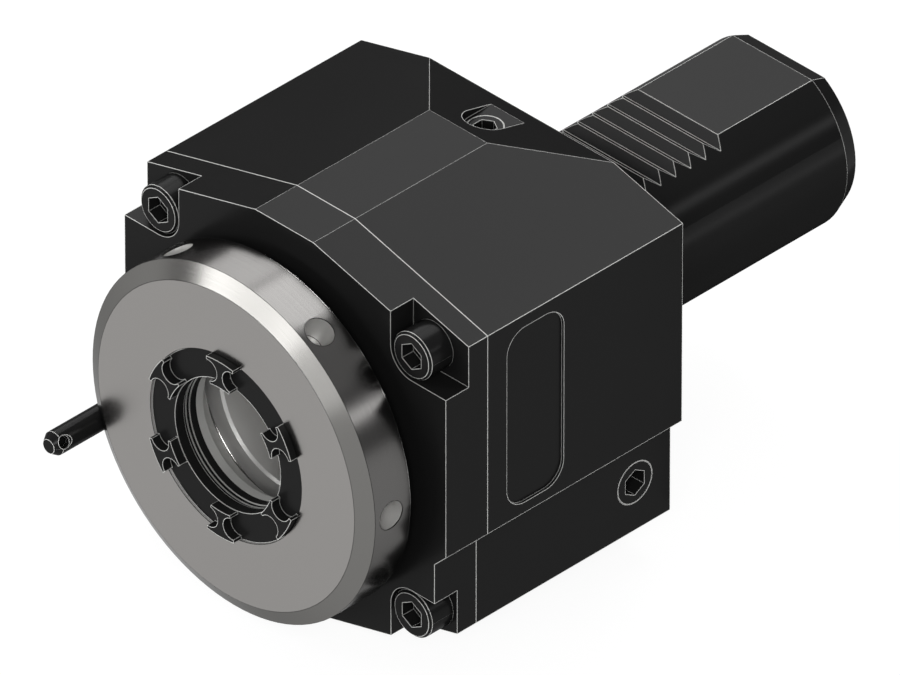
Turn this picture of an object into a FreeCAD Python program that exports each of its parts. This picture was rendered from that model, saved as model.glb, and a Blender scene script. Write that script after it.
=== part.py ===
import FreeCAD, Part
import math
import os

from FreeCAD import Vector

# Axial driven tool holder, millimetres.
# The spindle axis is Y: the nose points to -Y and the shank to +Y. X is to the right of someone who
# looks at the nose, and Z is up. The origin is the centre of the shank, in the rear seating face.

# Full circle in degrees, and a hexagon's sides
FULL_TURN = 360.0
HEX_SIDES = 6

# Clearances
SLIDE_GAP = 0.03
THREAD_GAP = 0.08
SEAT_GAP = 0.05
BALL_GAP = 0.03
BREAKTHROUGH = 1.0

# Spindle bearings, a pair of angular contact bearings
BEARING_BORE = 40.0
BEARING_OUTER = 68.0
BEARING_WIDTH = 15.0
BEARING_BALL = 8.0
BEARING_BALL_COUNT = 15
BEARING_RING_GAP = 2.8
BEARING_CAGE_WALL = 2.0
BEARING_CAGE_WIDTH = 11.0
SPACER_WIDTH = 4.0
SPACER_WALL = 3.5

# Tail bearing, a deep groove bearing in the end of the shank
TAIL_BORE = 15.0
TAIL_OUTER = 28.0
TAIL_WIDTH = 7.0
TAIL_BALL = 4.4
TAIL_BALL_COUNT = 11
TAIL_RING_GAP = 1.5
TAIL_CAGE_WALL = 1.2
TAIL_CAGE_WIDTH = 5.6
TAIL_FLOAT = 0.3

# Lock nut that clamps the inner rings
LOCK_NUT_WIDTH = 9.0
LOCK_NUT_WALL = 9.0
LOCK_NUT_SLOTS = 4
LOCK_NUT_SLOT_WIDTH = 6.0
LOCK_NUT_SLOT_DEPTH = 2.5
LOCK_NUT_CLEARANCE = 1.5
SET_SCREW_DIAMETER = 5.0
SET_SCREW_LENGTH = 7.0
SET_SCREW_HEX = 2.5
SET_SCREW_HEX_DEPTH = 2.2

# Head: housing block and front cover
REAR_WALL = 5.0
COVER_THICKNESS = 11.0
COVER_SPIGOT = 2.0
NOSE_OVERHANG = 3.5
NOSE_MARGIN = 5.0
TOP_FLAT_WIDTH = 15.3
ROOF_SLOPE = 15.0
STEP_BELOW_AXIS = 12.0
STEP_INSET = 3.0
REAR_SLOPE = 15.0
REAR_SLOPE_LENGTH = 16.7

# Corner screws of the cover
SCREW_EDGE_X = 9.0
SCREW_EDGE_Z = 13.0
SCREW_DIAMETER = 6.0
SCREW_HOLE_GAP = 0.3
SCREW_HEAD_DIAMETER = 10.0
SCREW_HEAD_HEIGHT = 6.0
SCREW_HEAD_CHAMFER = 0.5
SCREW_LENGTH = 20.0
SCREW_HEX = 5.0
SCREW_HEX_DEPTH = 3.0
SCREW_HOLE_SPARE = 2.0
NOTCH_WALL_GAP = 0.5

# Pocket and plug in the top, and plug in the right side
POCKET_WIDTH = 8.7
POCKET_DEPTH = 3.5
TOP_PLUG_BEHIND = 9.6
TOP_PLUG_DIAMETER = 7.0
TOP_PLUG_LENGTH = 6.0
TOP_PLUG_HEX = 4.0
TOP_PLUG_HEX_DEPTH = 3.0
TOP_DRILL = 4.0
SIDE_PLUG_BEHIND = 9.4
SIDE_PLUG_BELOW = 23.0
SIDE_PLUG_DIAMETER = 9.0
SIDE_PLUG_LENGTH = 8.0
SIDE_PLUG_HEX = 5.0
SIDE_PLUG_HEX_DEPTH = 4.0
SIDE_DRILL = 4.0

# Shallow recess in the right side
RECESS_FROM_SPLIT = 5.1
RECESS_WIDTH = 15.0
RECESS_HEIGHT = 40.0
RECESS_CENTRE_Z = 10.4
RECESS_CORNER = 4.8
RECESS_DEPTH = 0.6

# Shank with its clamping rack
SHANK_DIAMETER = 40.0
SHANK_LENGTH = 71.0
SHANK_CHAMFER_LENGTH = 3.8
SHANK_CHAMFER_DEPTH = 1.5
FLAT_ABOVE_AXIS = 17.0
PLAIN_FLAT_LENGTH = 29.2
RACK_PITCH = 4.0
RACK_DEPTH = 1.8
RACK_STEEP_LENGTH = 1.65
RACK_TEETH = 8
SHANK_BORE = 22.0
SHANK_SEAM_ANGLE = 22.5
SHANK_RING_FROM_SHANK = 1.0
SHANK_RING_CORD = 2.0

# Spindle
NOSE_REACH = 15.5
NOSE_GAP = 3.75
NOSE_CHAMFER_DEPTH = 3.5
NOSE_CHAMFER_LENGTH = 2.0
NOSE_BACK_CHAMFER = 0.5
SPANNER_HOLE_COUNT = 6
SPANNER_HOLE_DIAMETER = 6.0
SPANNER_HOLE_DEPTH = 6.4
SPANNER_HOLE_BEHIND_FACE = 6.15
HUB_INSET = 0.2
NUT_BORE_DEPTH = 14.5
NUT_BORE_RELIEF = 0.7
TAPER_MOUTH = 32.0
TAPER_CHAMFER = 0.5
TAPER_SLOPE = 8.0
TAPER_LENGTH = 32.0
CORE_BORE_LENGTH = 8.0
SHAFT_DIAMETER = 18.0
TANG_REACH = 6.5
TANG_FLATS = 9.0
TANG_LENGTH = 7.5
TANG_CHAMFER = 0.8

# Clamping nut and its extractor ring
NUT_DIAMETER = 40.0
NUT_LENGTH = 11.5
NUT_SET_BACK = 0.5
NUT_MOUTH = 28.0
NUT_LIP = 2.3
NUT_CHAMFER = 0.3
LUG_COUNT = 6
LUG_WIDTH_ANGLE = 20.5
LUG_HEIGHT = 2.05
LUG_CUT_DIAMETER = 4.6
LUG_CUT_CENTRE = 17.0
LUG_INSET = 0.1
EXTRACTOR_WALL = 2.5
EXTRACTOR_LENGTH = 5.0
EXTRACTOR_STEP = 0.75
EXTRACTOR_STEP_DEPTH = 0.2
NUT_CONE_FLARE = 1.5

# Seals
SEAL_WALL = 6.0
SEAL_WIDTH = 7.0
SEAL_SKIN = 1.2
SEAL_LIP_REACH = 0.75
COVER_BORE_GAP = 1.0
FACE_RING_CORD = 1.3
FACE_RING_FROM_BORE = 2.1
FACE_RING_GROOVE = 1.8
TAIL_SEAL_WIDTH = 5.0
TAIL_SEAL_GAP = 0.7
SHAFT_SNAP_WIDTH = 1.0
SHAFT_SNAP_DEPTH = 0.5
SHAFT_SNAP_WALL = 1.9
TAIL_SNAP_WIDTH = 1.2
TAIL_SNAP_DEPTH = 0.7
TAIL_SNAP_WALL = 2.1
SNAP_OPENING_ANGLE = 40.0

# Coolant tube on the left, and its supply through the housing
TUBE_DIAMETER = 5.0
TUBE_NOSE_GAP = 0.58
TUBE_ANGLE = 200.9
TUBE_REACH = 24.8
TUBE_TIP_LENGTH = 1.5
TUBE_TIP_DEPTH = 1.0
TUBE_BORE = 2.4
TUBE_JET = 2.5
TUBE_JET_SINK = 3.4
TUBE_JET_SINK_DEPTH = 0.45
TUBE_JET_BEHIND_TIP = 2.2
TUBE_JET_ANGLE = 25.0
TUBE_COLLAR = 6.4
TUBE_COLLAR_LENGTH = 2.5
TUBE_COLLAR_GAP = 0.1
TUBE_TAIL = 4.4
TUBE_TAIL_LENGTH = 6.0
TUBE_RING_CORD = 0.96
TUBE_RING_BEHIND_COLLAR = 2.0
SOCKET_GAP = 0.7
COOLANT_BORE = 4.0
INLET_RING_CORD = 1.4

# Radii and places that follow
JOURNAL_R = BEARING_BORE / 2
BORE_R = BEARING_OUTER / 2
PITCH_R = (JOURNAL_R + BORE_R) / 2
INNER_RING_R = PITCH_R - BEARING_RING_GAP
OUTER_RING_R = PITCH_R + BEARING_RING_GAP
NOSE_R = BORE_R + NOSE_OVERHANG
HEAD_HALF = NOSE_R + NOSE_MARGIN
LOCK_NUT_R = JOURNAL_R + LOCK_NUT_WALL
CHAMBER_R = LOCK_NUT_R + LOCK_NUT_CLEARANCE
HUB_R = INNER_RING_R - HUB_INSET
SEAL_R = HUB_R + SEAL_WALL
SHANK_R = SHANK_DIAMETER / 2
SHANK_BORE_R = SHANK_BORE / 2
SHAFT_R = SHAFT_DIAMETER / 2
TAIL_R = TAIL_OUTER / 2
TAIL_JOURNAL_R = TAIL_BORE / 2
TAIL_PITCH_R = (TAIL_R + TAIL_JOURNAL_R) / 2
NUT_R = NUT_DIAMETER / 2
NUT_BORE_R = NUT_R + THREAD_GAP
MOUTH_R = NUT_MOUTH / 2
TUBE_R = TUBE_DIAMETER / 2
TUBE_CENTRE_R = NOSE_R + TUBE_NOSE_GAP + TUBE_R
TUBE_X = TUBE_CENTRE_R * math.cos(math.radians(TUBE_ANGLE))
TUBE_Z = TUBE_CENTRE_R * math.sin(math.radians(TUBE_ANGLE))

STACK_LENGTH = 2 * BEARING_WIDTH + SPACER_WIDTH
HOUSING_LENGTH = COVER_SPIGOT + STACK_LENGTH + LOCK_NUT_WIDTH + LOCK_NUT_CLEARANCE + REAR_WALL
SPLIT_Y = -HOUSING_LENGTH
COVER_Y = SPLIT_Y - COVER_THICKNESS
FRONT_BEARING_Y = SPLIT_Y + COVER_SPIGOT
SPACER_Y = FRONT_BEARING_Y + BEARING_WIDTH
SECOND_BEARING_Y = SPACER_Y + SPACER_WIDTH
LOCK_NUT_Y = SECOND_BEARING_Y + BEARING_WIDTH
CHAMBER_END_Y = -REAR_WALL
NOSE_Y = COVER_Y - NOSE_REACH
NOSE_BACK_Y = COVER_Y - NOSE_GAP
NUT_Y = NOSE_Y + NUT_SET_BACK
NUT_END_Y = NUT_Y + NUT_LENGTH
EXTRACTOR_Y = NUT_Y + NUT_LIP + SEAT_GAP
SEAL_Y = FRONT_BEARING_Y - SEAL_WIDTH

TAIL_SNAP_Y = SHANK_LENGTH - TAIL_SNAP_WIDTH - TAIL_SNAP_DEPTH - SHANK_CHAMFER_DEPTH / 2
TAIL_SEAL_Y = TAIL_SNAP_Y - TAIL_SEAL_WIDTH
SHAFT_SNAP_Y = TAIL_SEAL_Y - TAIL_SEAL_GAP - SHAFT_SNAP_WIDTH
TAIL_BEARING_Y = SHAFT_SNAP_Y - TAIL_WIDTH
TAIL_BORE_Y = TAIL_BEARING_Y - TAIL_FLOAT

SCREW_X = HEAD_HALF - SCREW_EDGE_X
SCREW_Z = HEAD_HALF - SCREW_EDGE_Z
NOTCH_FLOOR_Y = COVER_Y + SCREW_HEAD_HEIGHT
POCKET_FLOOR_Z = HEAD_HALF - POCKET_DEPTH
STEP_X = HEAD_HALF - STEP_INSET
COLLAR_Y = SPLIT_Y + TUBE_COLLAR_GAP
COLLAR_END_Y = COLLAR_Y + TUBE_COLLAR_LENGTH
SOCKET_Y = COLLAR_END_Y + TUBE_COLLAR_GAP
TUBE_END_Y = COLLAR_END_Y + TUBE_TAIL_LENGTH
TUBE_TIP_Y = COVER_Y - TUBE_REACH

ALONG = Vector(0, 1, 0)
ORIGIN = Vector(0, 0, 0)


def rod(radius, y0, y1, x=0.0, z=0.0):
    """A cylinder along the spindle axis from y0 to y1, centred at x, z."""
    return Part.makeCylinder(radius, y1 - y0, Vector(x, y0, z), ALONG)


def ring(outer, inner, y0, y1, x=0.0, z=0.0):
    """A flat ring round an axis along Y."""
    hole = rod(inner, y0 - BREAKTHROUGH, y1 + BREAKTHROUGH, x, z)
    return rod(outer, y0, y1, x, z).cut(hole)


def box(x0, x1, y0, y1, z0, z1):
    """A box between two corners."""
    return Part.makeBox(x1 - x0, y1 - y0, z1 - z0, Vector(x0, y0, z0))


def face_of(points):
    """A flat face with straight sides."""
    return Part.Face(Part.makePolygon(points + [points[0]]))


def turned(profile, x=0.0, z=0.0):
    """A solid of revolution about an axis along Y. The profile is a list of (radius, y)."""
    face = face_of([Vector(x + radius, y, z) for radius, y in profile])
    return face.revolve(Vector(x, 0, z), ALONG, FULL_TURN)


def front_prism(points, y0, y1):
    """A prism along Y whose outline is a list of (x, z)."""
    face = face_of([Vector(x, y0, z) for x, z in points])
    return face.extrude(Vector(0, y1 - y0, 0))


def side_prism(points, x0, x1):
    """A prism along X whose outline is a list of (y, z)."""
    face = face_of([Vector(x0, y, z) for y, z in points])
    return face.extrude(Vector(x1 - x0, 0, 0))


def o_ring(radius, cord, y, x=0.0, z=0.0):
    """A round cord bent to a circle about an axis along Y."""
    return Part.makeTorus(radius, cord / 2, Vector(x, y, z), ALONG)


def hexagon(across_flats, depth, place, direction):
    """A hexagonal prism from place along direction. For a horizontal one, two flats stand upright."""
    points = []
    for corner in range(HEX_SIDES):
        angle = math.radians(FULL_TURN * (corner + 0.5) / HEX_SIDES)
        points.append(Vector(math.cos(angle), math.sin(angle), 0) * (across_flats / math.sqrt(3)))
    prism = face_of(points).extrude(Vector(0, 0, depth))
    if direction.z == 0:
        sideways = Vector(direction.y, -direction.x, 0)
        turn = FreeCAD.Rotation(sideways, Vector(0, 0, 1), direction, "ZXY")
    else:
        turn = FreeCAD.Rotation(Vector(0, 0, 1), direction)
    prism.Placement = FreeCAD.Placement(place, turn)
    return prism


def spun(shape, degrees):
    """The shape turned about the spindle axis."""
    turned_copy = shape.copy()
    turned_copy.rotate(ORIGIN, ALONG, degrees)
    return turned_copy


def around(shape, count, start=0.0):
    """Copies of a shape, evenly spaced about the spindle axis."""
    return [spun(shape, start + FULL_TURN * index / count) for index in range(count)]


def head_outline():
    """The head seen from the front: a square with sloped roof and keel, and a step low on the right."""
    flat = TOP_FLAT_WIDTH / 2
    fall = math.tan(math.radians(ROOF_SLOPE))
    eave = HEAD_HALF - (HEAD_HALF - flat) * fall
    step_eave = HEAD_HALF - (STEP_X - flat) * fall
    return [
        (-flat, HEAD_HALF), (flat, HEAD_HALF), (HEAD_HALF, eave),
        (HEAD_HALF, -STEP_BELOW_AXIS), (STEP_X, -STEP_BELOW_AXIS - STEP_INSET), (STEP_X, -step_eave),
        (flat, -HEAD_HALF), (-flat, -HEAD_HALF), (-HEAD_HALF, -eave), (-HEAD_HALF, eave),
    ]


def roof_cut():
    """What the slope at the rear of the roof takes away."""
    fall = REAR_SLOPE_LENGTH * math.tan(math.radians(REAR_SLOPE))
    over = HEAD_HALF + REAR_SLOPE_LENGTH
    start = -REAR_SLOPE_LENGTH
    points = [(start, HEAD_HALF), (0.0, HEAD_HALF - fall), (0.0, over), (start, over)]
    return side_prism(points, -HEAD_HALF, HEAD_HALF)


def top_pocket():
    """The pocket of the top plug: a flat floor with a round front end, open to the rear."""
    half = POCKET_WIDTH / 2
    height = 2 * POCKET_DEPTH
    end = Part.makeCylinder(half, height, Vector(0, -TOP_PLUG_BEHIND, POCKET_FLOOR_Z))
    run = box(-half, half, -TOP_PLUG_BEHIND, BREAKTHROUGH, POCKET_FLOOR_Z, POCKET_FLOOR_Z + height)
    return end.fuse(run)


def side_recess():
    """The shallow round-cornered recess in the right side."""
    y0 = SPLIT_Y + RECESS_FROM_SPLIT
    z0 = RECESS_CENTRE_Z - RECESS_HEIGHT / 2
    x0 = HEAD_HALF - RECESS_DEPTH
    block = box(x0, HEAD_HALF + BREAKTHROUGH, y0, y0 + RECESS_WIDTH, z0, z0 + RECESS_HEIGHT)
    corners = [edge for edge in block.Edges if edge.BoundBox.XLength > RECESS_DEPTH]
    return block.makeFillet(RECESS_CORNER, corners)


def rack_cut():
    """What the flat, the teeth of the rack and the end chamfer take from the top of the shank."""
    chamfer_y = SHANK_LENGTH - SHANK_CHAMFER_LENGTH
    over = SHANK_R + BREAKTHROUGH
    points = [
        (SHANK_LENGTH, over), (SHANK_LENGTH, FLAT_ABOVE_AXIS - SHANK_CHAMFER_DEPTH),
        (chamfer_y, FLAT_ABOVE_AXIS),
    ]
    crest = SHANK_LENGTH - PLAIN_FLAT_LENGTH
    for tooth in range(RACK_TEETH):
        points.append((crest, FLAT_ABOVE_AXIS))
        points.append((crest - RACK_STEEP_LENGTH, FLAT_ABOVE_AXIS - RACK_DEPTH))
        crest -= RACK_PITCH
    points.append((crest, FLAT_ABOVE_AXIS))
    points.append((crest, over))
    return side_prism(points, -SHANK_R, SHANK_R)


def shank_solid():
    """The round shank with its end chamfer and rack. The seam of its round wall lies beside the rack."""
    body = turned([
        (0.0, -REAR_WALL / 2), (SHANK_R, -REAR_WALL / 2), (SHANK_R, SHANK_LENGTH - SHANK_CHAMFER_LENGTH),
        (SHANK_R - SHANK_CHAMFER_DEPTH, SHANK_LENGTH), (0.0, SHANK_LENGTH),
    ])
    return spun(body, -SHANK_SEAM_ANGLE).cut(rack_cut())


def shank_ring_groove():
    """The groove in the rear face, round the root of the shank, that holds the shank's seal ring."""
    inner = SHANK_R + SHANK_RING_FROM_SHANK
    outer = inner + SHANK_RING_CORD + 2 * SEAT_GAP
    return ring(outer, inner, -SHANK_RING_CORD, BREAKTHROUGH)


def spindle_space():
    """The turned space inside the housing: bearing bore, lock nut chamber, shank bore and tail seat."""
    snap_r = TAIL_R + TAIL_SNAP_DEPTH
    snap_end = TAIL_SNAP_Y + TAIL_SNAP_WIDTH
    return turned([
        (0.0, SPLIT_Y - BREAKTHROUGH), (BORE_R, SPLIT_Y - BREAKTHROUGH), (BORE_R, LOCK_NUT_Y),
        (CHAMBER_R, LOCK_NUT_Y), (CHAMBER_R, CHAMBER_END_Y), (SHANK_BORE_R, CHAMBER_END_Y),
        (SHANK_BORE_R, TAIL_BORE_Y), (TAIL_R, TAIL_BORE_Y), (TAIL_R, TAIL_SNAP_Y),
        (snap_r, TAIL_SNAP_Y), (snap_r, snap_end), (TAIL_R, snap_end),
        (TAIL_R, SHANK_LENGTH + BREAKTHROUGH), (0.0, SHANK_LENGTH + BREAKTHROUGH),
    ])


def coolant_space():
    """The coolant drilling, with the tube's seats at its front and the ring's seat at its rear."""
    collar_r = TUBE_COLLAR / 2 + TUBE_COLLAR_GAP
    socket_r = TUBE_TAIL / 2 + SOCKET_GAP
    drill = rod(COOLANT_BORE / 2, SPLIT_Y, BREAKTHROUGH, TUBE_X, TUBE_Z)
    collar_seat = rod(collar_r, SPLIT_Y - BREAKTHROUGH, SOCKET_Y, TUBE_X, TUBE_Z)
    socket = rod(socket_r, SPLIT_Y, TUBE_END_Y + SOCKET_GAP, TUBE_X, TUBE_Z)
    ring_seat_r = inlet_ring_radius() + INLET_RING_CORD / 2 + SEAT_GAP
    ring_seat = rod(ring_seat_r, -INLET_RING_CORD, BREAKTHROUGH, TUBE_X, TUBE_Z)
    return drill.fuse([collar_seat, socket, ring_seat])


def inlet_ring_radius():
    """The mean radius of the seal ring round the coolant inlet."""
    return COOLANT_BORE / 2 + INLET_RING_CORD / 2 + SEAT_GAP


def plug_holes():
    """The seats of the two socket plugs, each drilled on into the lock nut chamber."""
    top_r = TOP_PLUG_DIAMETER / 2 + THREAD_GAP
    top_bottom = POCKET_FLOOR_Z - TOP_PLUG_LENGTH
    top = Part.makeCylinder(top_r, TOP_PLUG_LENGTH + BREAKTHROUGH, Vector(0, -TOP_PLUG_BEHIND, top_bottom))
    top_start = CHAMBER_R - BREAKTHROUGH
    top_reach = max(top_bottom - top_start, 0.0) + BREAKTHROUGH
    top_drill = Part.makeCylinder(TOP_DRILL / 2, top_reach, Vector(0, -TOP_PLUG_BEHIND, top_start))
    side_r = SIDE_PLUG_DIAMETER / 2 + THREAD_GAP
    side_bottom = STEP_X - SIDE_PLUG_LENGTH
    side_place = Vector(side_bottom, -SIDE_PLUG_BEHIND, -SIDE_PLUG_BELOW)
    side = Part.makeCylinder(side_r, SIDE_PLUG_LENGTH + BREAKTHROUGH, side_place, Vector(1, 0, 0))
    side_start = math.sqrt(max(CHAMBER_R ** 2 - SIDE_PLUG_BELOW ** 2, 0.0)) - BREAKTHROUGH
    drill_place = Vector(side_start, -SIDE_PLUG_BEHIND, -SIDE_PLUG_BELOW)
    side_drill = Part.makeCylinder(SIDE_DRILL / 2, side_bottom - side_start + BREAKTHROUGH, drill_place,
                                   Vector(1, 0, 0))
    return top.fuse([top_drill, side, side_drill])


def corner_places():
    """The centres of the four cover screws."""
    return [(x, z) for x in (-SCREW_X, SCREW_X) for z in (-SCREW_Z, SCREW_Z)]


def screw_holes(diameter, y0, y1):
    """Four holes of one size at the cover's corners."""
    return [rod(diameter / 2, y0, y1, x, z) for x, z in corner_places()]


def housing():
    """The head block and the shank in one piece, bored for the spindle."""
    block = front_prism(head_outline(), SPLIT_Y, 0.0)
    block = block.cut([roof_cut(), top_pocket(), side_recess()])
    body = block.fuse(shank_solid())
    hole_end = NOTCH_FLOOR_Y + SCREW_LENGTH + SCREW_HOLE_SPARE
    threads = screw_holes(SCREW_DIAMETER + 2 * THREAD_GAP, SPLIT_Y - BREAKTHROUGH, hole_end)
    return body.cut([spindle_space(), coolant_space(), plug_holes(), shank_ring_groove()] + threads)


def corner_notch(x_side, z_side):
    """A corner of the cover cut down to the screw seat, with a round inner corner about the screw."""
    wall = SCREW_HEAD_DIAMETER / 2 + NOTCH_WALL_GAP
    far = HEAD_HALF + BREAKTHROUGH
    y0 = COVER_Y - BREAKTHROUGH
    beside = box(SCREW_X, far, y0, NOTCH_FLOOR_Y, SCREW_Z - wall, far)
    above = box(SCREW_X - wall, far, y0, NOTCH_FLOOR_Y, SCREW_Z, far)
    notch = beside.fuse([above, rod(wall, y0, NOTCH_FLOOR_Y, SCREW_X, SCREW_Z)])
    if x_side < 0:
        notch = notch.mirror(ORIGIN, Vector(1, 0, 0))
    if z_side < 0:
        notch = notch.mirror(ORIGIN, Vector(0, 0, 1))
    return notch


def front_cover():
    """The cover that clamps the bearings, with its spigot, seal seat and corner notches."""
    plate = front_prism(head_outline(), COVER_Y, SPLIT_Y)
    plate = plate.fuse(rod(BORE_R - SEAT_GAP, SPLIT_Y - BREAKTHROUGH, FRONT_BEARING_Y))
    notches = [corner_notch(x, z) for x in (-1, 1) for z in (-1, 1)]
    opening = rod(HUB_R + COVER_BORE_GAP, COVER_Y - BREAKTHROUGH, SEAL_Y + BREAKTHROUGH)
    seal_seat = rod(SEAL_R, SEAL_Y, FRONT_BEARING_Y + BREAKTHROUGH)
    groove_r = BORE_R + FACE_RING_FROM_BORE
    groove = ring(groove_r + FACE_RING_GROOVE / 2, groove_r - FACE_RING_GROOVE / 2,
                  SPLIT_Y - FACE_RING_CORD, SPLIT_Y + BREAKTHROUGH)
    tube_hole = rod(TUBE_R + SLIDE_GAP, COVER_Y - BREAKTHROUGH, SPLIT_Y + BREAKTHROUGH, TUBE_X, TUBE_Z)
    holes = screw_holes(SCREW_DIAMETER + 2 * SCREW_HOLE_GAP, COVER_Y, SPLIT_Y + BREAKTHROUGH)
    return plate.cut(notches + [opening, seal_seat, groove, tube_hole] + holes)


def cover_screws():
    """Four cap screws with hexagon sockets."""
    radius = SCREW_HEAD_DIAMETER / 2
    screws = []
    for x, z in corner_places():
        screw = turned([
            (0.0, COVER_Y), (radius - SCREW_HEAD_CHAMFER, COVER_Y), (radius, COVER_Y + SCREW_HEAD_CHAMFER),
            (radius, NOTCH_FLOOR_Y), (SCREW_DIAMETER / 2, NOTCH_FLOOR_Y),
            (SCREW_DIAMETER / 2, NOTCH_FLOOR_Y + SCREW_LENGTH), (0.0, NOTCH_FLOOR_Y + SCREW_LENGTH),
        ], x, z)
        socket = hexagon(SCREW_HEX, SCREW_HEX_DEPTH, Vector(x, COVER_Y, z), ALONG)
        screws.append(screw.cut(socket))
    return Part.makeCompound(screws)


def cover_o_ring():
    """The seal ring between the cover and the housing."""
    return o_ring(BORE_R + FACE_RING_FROM_BORE, FACE_RING_CORD, SPLIT_Y - FACE_RING_CORD / 2)


def lip_seal(outer, inner, y0, width):
    """A shaft seal: a cup with a sealing lip that points forward along the shaft."""
    lip_tip = y0 + width * SEAL_LIP_REACH
    web = y0 + SEAL_SKIN
    return turned([
        (outer, y0), (outer, y0 + width), (outer - SEAL_SKIN, y0 + width), (outer - SEAL_SKIN, web),
        (inner + SEAL_SKIN, web), (inner + SEAL_SKIN, lip_tip), (inner, lip_tip - SEAL_SKIN), (inner, y0),
    ])


def front_shaft_seal():
    """The seal of the spindle hub, in the cover."""
    return lip_seal(SEAL_R, HUB_R + SLIDE_GAP, SEAL_Y, SEAL_WIDTH)


def tail_shaft_seal():
    """The seal of the tail journal, in the end of the shank."""
    return lip_seal(TAIL_R, TAIL_JOURNAL_R + SLIDE_GAP, TAIL_SEAL_Y, TAIL_SEAL_WIDTH)


def race(outer, inner, y0, width, pitch, ball):
    """A bearing ring with the groove that the balls run in."""
    groove = Part.makeTorus(pitch, ball / 2 + BALL_GAP, Vector(0, y0 + width / 2, 0), ALONG)
    return ring(outer, inner, y0, y0 + width).cut(groove)


def balls(count, ball, pitch, y):
    """The balls of a bearing."""
    first = Part.makeSphere(ball / 2, Vector(pitch, y, 0))
    return Part.makeCompound(around(first, count))


def cage(count, ball, pitch, wall, width, y):
    """A ring cage with a round pocket for each ball."""
    band = ring(pitch + wall / 2, pitch - wall / 2, y - width / 2, y + width / 2)
    pocket_r = ball / 2 + 2 * BALL_GAP
    pocket = Part.makeCylinder(pocket_r, 2 * wall, Vector(pitch - wall, y, 0), Vector(1, 0, 0))
    return band.cut(around(pocket, count))


def lock_nut():
    """The slotted nut behind the bearings, with the hole of its set screw."""
    body = ring(LOCK_NUT_R, JOURNAL_R, LOCK_NUT_Y, LOCK_NUT_Y + LOCK_NUT_WIDTH)
    half = LOCK_NUT_SLOT_WIDTH / 2
    slot = box(LOCK_NUT_R - LOCK_NUT_SLOT_DEPTH, LOCK_NUT_R + BREAKTHROUGH,
               LOCK_NUT_Y - BREAKTHROUGH, LOCK_NUT_Y + LOCK_NUT_WIDTH + BREAKTHROUGH, -half, half)
    hole = set_screw_hole(SET_SCREW_DIAMETER / 2, JOURNAL_R - BREAKTHROUGH, LOCK_NUT_R + BREAKTHROUGH)
    return body.cut(around(slot, LOCK_NUT_SLOTS) + [hole])


def set_screw_hole(radius, start, end):
    """A radial cylinder halfway between two slots of the lock nut."""
    middle = LOCK_NUT_Y + LOCK_NUT_WIDTH / 2
    pin = Part.makeCylinder(radius, end - start, Vector(start, middle, 0), Vector(1, 0, 0))
    return spun(pin, -FULL_TURN / (2 * LOCK_NUT_SLOTS))


def lock_nut_set_screw():
    """The set screw that keeps the lock nut from turning."""
    end = JOURNAL_R + SET_SCREW_LENGTH
    screw = set_screw_hole(SET_SCREW_DIAMETER / 2, JOURNAL_R, end)
    middle = LOCK_NUT_Y + LOCK_NUT_WIDTH / 2
    place = Vector(end - SET_SCREW_HEX_DEPTH, middle, 0)
    socket = hexagon(SET_SCREW_HEX, SET_SCREW_HEX_DEPTH + BREAKTHROUGH, place, Vector(1, 0, 0))
    return screw.cut(spun(socket, -FULL_TURN / (2 * LOCK_NUT_SLOTS)))


def spindle():
    """The spindle: nose disc, hub, journals, collet seat and drive tang."""
    groove_r = TAIL_JOURNAL_R - SHAFT_SNAP_DEPTH
    groove_end = SHAFT_SNAP_Y + SHAFT_SNAP_WIDTH
    tang_end = SHANK_LENGTH + TANG_REACH
    relief_r = NUT_BORE_R + NUT_BORE_RELIEF
    bore_floor = NOSE_Y + NUT_BORE_DEPTH
    mouth_r = TAPER_MOUTH / 2
    taper_end = bore_floor + TAPER_CHAMFER + TAPER_LENGTH
    core_r = mouth_r - TAPER_LENGTH * math.tan(math.radians(TAPER_SLOPE))
    body = turned([
        (0.0, taper_end + CORE_BORE_LENGTH), (core_r, taper_end + CORE_BORE_LENGTH), (core_r, taper_end),
        (mouth_r, bore_floor + TAPER_CHAMFER), (mouth_r + TAPER_CHAMFER, bore_floor),
        (relief_r, bore_floor), (relief_r, NUT_END_Y + NUT_BORE_RELIEF),
        (NUT_BORE_R, NUT_END_Y), (NUT_BORE_R, NOSE_Y),
        (NOSE_R - NOSE_CHAMFER_DEPTH, NOSE_Y), (NOSE_R, NOSE_Y + NOSE_CHAMFER_LENGTH),
        (NOSE_R, NOSE_BACK_Y - NOSE_BACK_CHAMFER), (NOSE_R - NOSE_BACK_CHAMFER, NOSE_BACK_Y),
        (HUB_R, NOSE_BACK_Y), (HUB_R, FRONT_BEARING_Y), (JOURNAL_R, FRONT_BEARING_Y),
        (JOURNAL_R, LOCK_NUT_Y + LOCK_NUT_WIDTH), (SHAFT_R, LOCK_NUT_Y + LOCK_NUT_WIDTH),
        (SHAFT_R, TAIL_BEARING_Y), (TAIL_JOURNAL_R, TAIL_BEARING_Y), (TAIL_JOURNAL_R, SHAFT_SNAP_Y),
        (groove_r, SHAFT_SNAP_Y), (groove_r, groove_end), (TAIL_JOURNAL_R, groove_end),
        (TAIL_JOURNAL_R, tang_end - TANG_CHAMFER), (TAIL_JOURNAL_R - TANG_CHAMFER, tang_end),
        (0.0, tang_end),
    ])
    holes = around(spanner_hole(), SPANNER_HOLE_COUNT)
    return body.cut(holes + tang_cuts())


def spanner_hole():
    """A blind radial hole in the rim of the nose."""
    y = NOSE_Y + SPANNER_HOLE_BEHIND_FACE
    radius = SPANNER_HOLE_DIAMETER / 2
    floor = NOSE_R - SPANNER_HOLE_DEPTH
    return Part.makeCylinder(radius, SPANNER_HOLE_DEPTH + BREAKTHROUGH, Vector(floor, y, 0), Vector(1, 0, 0))


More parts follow.
